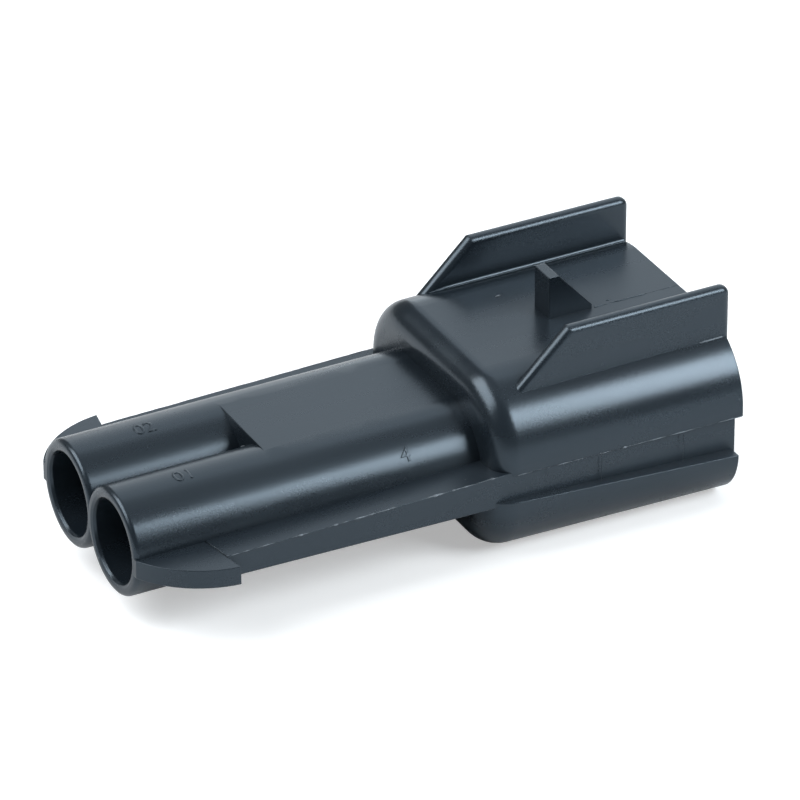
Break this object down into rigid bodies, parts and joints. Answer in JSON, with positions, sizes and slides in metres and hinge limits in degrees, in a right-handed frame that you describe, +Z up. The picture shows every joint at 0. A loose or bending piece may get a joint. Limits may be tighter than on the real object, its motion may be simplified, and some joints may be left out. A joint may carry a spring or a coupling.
{
  "type": "connector housing",
  "caption": "Moulded sealed wire-to-wire connector housing with round wire tubes, side blades with snap wings, and an open mating hood with guard rails and a lock wedge.",
  "frame": {"origin": "middle of the overall length, on the centre plane, at the height of the hood's flat bottom", "axes": "+X along the length from the wire mouths to the mating mouth, +Y across the ways, +Z up towards the lock wedge"},
  "size_m": [0.0456, 0.0226, 0.0159],
  "materials": {
    "housing": "satin black moulded PBT"
  },
  "bodies": {
    "root": {"housing": "housing"}
  },
  "joints": []
}
